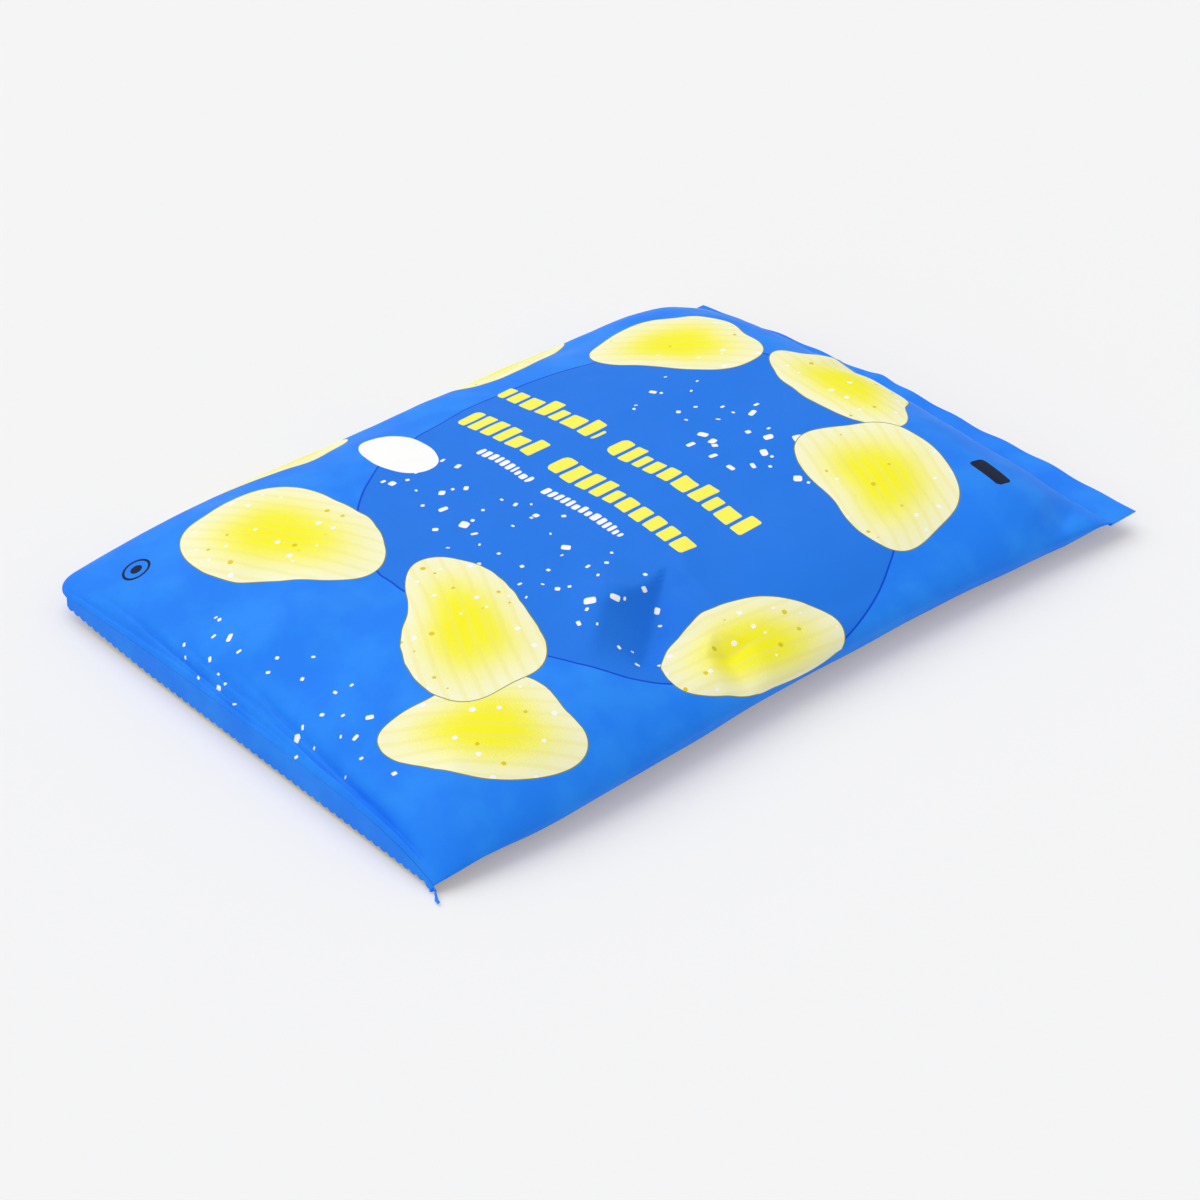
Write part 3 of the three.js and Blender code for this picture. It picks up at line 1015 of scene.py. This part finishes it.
# %% The top seal lies flat and wavy, and is cut off straight
SEAL_OVERLAP = 1.6
top_x = np.linspace(-HALF, HALF, 201)
top_z = top_seal_height(top_x / HALF) - SEAL_THICKNESS / 2
top_inner = np.column_stack([top_x, np.full_like(top_x, TOP_Y - SEAL_OVERLAP), top_z])
top_outer = np.column_stack([top_x, np.full_like(top_x, TOP_Y + TOP_SEAL), top_z])
top_seal = lay_strip("top_seal", top_inner, top_outer, stations=401, steps=26, edge=SMOOTH_EDGE)

# %% The bottom seal hangs down over the end of the bag
BOTTOM_SEAL_INSET = (12.0, 11.7)
BOTTOM_SEAL_CLEARANCE = (3.6, 1.3)
LIFT_REACH = 45.0
LIFT_POWER = 1.5
LEAST_DROP = 1.7
OVER_CREASE = 0.15
BEFORE_CREASE = (0.05, 0.25)

low_x = np.linspace(BOTTOM_SEAL_INSET[0] - HALF, HALF - BOTTOM_SEAL_INSET[1], 161)
low_across = np.clip(low_x / half_width(np.sign(low_x), 0.0), -1, 1)
low_top = seam_height(CREASE_HEIGHT, low_across) + OVER_CREASE
lifted = np.clip(1 - (low_x - low_x[0]) / LIFT_REACH, 0, 1) ** LIFT_POWER
low_bottom = BOTTOM_SEAL_CLEARANCE[1] + (BOTTOM_SEAL_CLEARANCE[0] - BOTTOM_SEAL_CLEARANCE[1]) * lifted
low_bottom = np.minimum(low_bottom, low_top - LEAST_DROP)
print(f"the bottom seal hangs down {(low_top - low_bottom).max():.1f} mm at most")

# %% At the right corner it curls forward, and a short tail of film stands out past the bag
CURL_START = 84.0
CURL_REACH = 1.2
CURL_HEIGHT = 0.3
TAIL_INNER = [
    (88.9, -141.1, 2.3),
    (89.7, -141.4, 2.3),
    (91.3, -142.1, 1.6),
    (92.6, -142.7, 1.2),
    (93.9, -143.2, 1.4),
]
TAIL_OUTER = [
    (88.6, -140.0, 0.3),
    (90.1, -141.9, 0.5),
    (91.0, -142.5, 0.6),
    (92.1, -143.3, 0.4),
    (93.2, -143.6, 0.2),
]

curl = np.clip((low_x - CURL_START) / (low_x[-1] - CURL_START), 0, 1) ** 2
low_bottom = low_bottom * (1 - curl) + CURL_HEIGHT * curl
bottom_inner = np.column_stack([low_x, np.full_like(low_x, BOTTOM_Y - BEFORE_CREASE[0]), low_top])
bottom_outer = np.column_stack([low_x, BOTTOM_Y - BEFORE_CREASE[1] - CURL_REACH * curl, low_bottom])
bottom_seal = lay_strip(
    "bottom_seal",
    np.vstack([bottom_inner, TAIL_INNER]),
    np.vstack([bottom_outer, TAIL_OUTER]),
    stations=601,
    steps=24,
    edge=TOOTHED_EDGE,
)

# %% The fin seal runs down the middle of the back, laid over to one side
FIN_LOWEST = 0.05
fin_y = np.concatenate([BOTTOM_Y + rows * BODY_LENGTH, [TOP_Y + TOP_SEAL]])
fin_z = back_height(np.zeros_like(rows), rows) - SEAM_GAP / 2 - FIN_THICKNESS
fin_z = np.maximum(np.append(fin_z, fin_z[-1]), FIN_LOWEST)
fin_inner = np.column_stack([np.full_like(fin_y, FIN_WIDTH / 2), fin_y, fin_z])
fin_outer = fin_inner * (-1, 1, 1)
fin_seal = lay_strip("fin_seal", fin_inner, fin_outer, stations=301, steps=26, edge=SMOOTH_EDGE)

# %% [markdown]
# The pieces of film ride on the one body of the model, and together they stand for its solid.

# %% Fasten the pieces to the model
for piece in (bag_film, top_seal, bottom_seal, fin_seal):
    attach(piece, "root")
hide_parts("crisp_bag")

# %% [markdown]
# The stage is a pale table, large enough to fill the view, under an even white sky. A broad soft lamp
# shines from the upper left, and a weak low one from the front fills the bottom seal. The film throws blue
# light into its own shadow. The table is a light box, lit from below, and its glow is as much too yellow as
# its paint is too blue. In the open they make white, and in the shadow the glow turns the blue to grey.
# The camera stands where it stood for the photo: its turn, height and distance were worked out from the
# outline of the bag.

# %% The table
TABLE_SIZE = 6.0
TABLE_PAINT = (0.61, 0.67, 0.84, 1)
TABLE_GLOW = (1.0, 0.79, 0.2, 1)
GLOW_STRENGTH = 0.28

table_mesh = bpy.data.meshes.new("table")
corner = TABLE_SIZE / 2
table_mesh.from_pydata(
    [(-corner, -corner, 0), (corner, -corner, 0), (corner, corner, 0), (-corner, corner, 0)],
    [],
    [(0, 1, 2, 3)],
)
table = bpy.data.objects.new("table", table_mesh)
bpy.context.scene.collection.objects.link(table)
table_paint = Paint("table_white")
table_shader = table_paint.node("ShaderNodeBsdfPrincipled")
table_shader.inputs["Base Color"].default_value = TABLE_PAINT
table_shader.inputs["Emission Color"].default_value = TABLE_GLOW
table_shader.inputs["Emission Strength"].default_value = GLOW_STRENGTH
table_shader.inputs["Roughness"].default_value = 0.9
table_shader.inputs["Specular IOR Level"].default_value = 0.2
table_paint.link(table_shader.outputs[0], table_paint.node("ShaderNodeOutputMaterial").inputs["Surface"])
table_mesh.materials.append(table_paint.material)
print(f"the table is {TABLE_SIZE:.0f} m wide")

# %% The sky and the lamps
SKY_STRENGTH = 0.55
# name, where the light comes from, strength, and how wide the lamp looks, in degrees
LAMPS = [
    ("soft_window", Vector((-0.42, -0.02, 0.9)), 1.53, 70),
    ("low_fill", Vector((0.35, -1.0, 0.2)), 0.5, 60),
]

world = bpy.data.worlds.new("white_sky")
world.use_nodes = True
sky = world.node_tree.nodes["Background"]
sky.inputs["Color"].default_value = (1, 1, 1, 1)
sky.inputs["Strength"].default_value = SKY_STRENGTH
bpy.context.scene.world = world
for lamp_name, light_from, energy, width in LAMPS:
    lamp_data = bpy.data.lights.new(lamp_name, "SUN")
    lamp_data.energy = energy
    lamp_data.angle = math.radians(width)
    lamp = bpy.data.objects.new(lamp_name, lamp_data)
    lamp.rotation_euler = (-light_from).to_track_quat("-Z", "Y").to_euler()
    bpy.context.scene.collection.objects.link(lamp)
print("lamps:", [name for name, *_ in LAMPS])

# %% The camera
CAMERA_TURN = math.radians(47.9)
CAMERA_RISE = math.radians(34.4)
CAMERA_DISTANCE = 0.913
CAMERA_TARGET = Vector((0.0146, -0.0132, 0.0))
CAMERA_LENS = 88.2
camera_data = bpy.data.cameras.new("camera")
camera_data.lens = CAMERA_LENS
camera_data.sensor_width = 36.0
camera = bpy.data.objects.new("camera", camera_data)
towards = Vector((
    math.sin(CAMERA_TURN) * math.cos(CAMERA_RISE),
    -math.cos(CAMERA_TURN) * math.cos(CAMERA_RISE),
    math.sin(CAMERA_RISE),
))
camera.location = CAMERA_TARGET + towards * CAMERA_DISTANCE
camera.rotation_euler = (-towards).to_track_quat("-Z", "Y").to_euler()
bpy.context.scene.collection.objects.link(camera)
bpy.context.scene.camera = camera
bpy.context.scene.view_settings.view_transform = "Standard"
print("camera at", [round(value, 3) for value in camera.location])
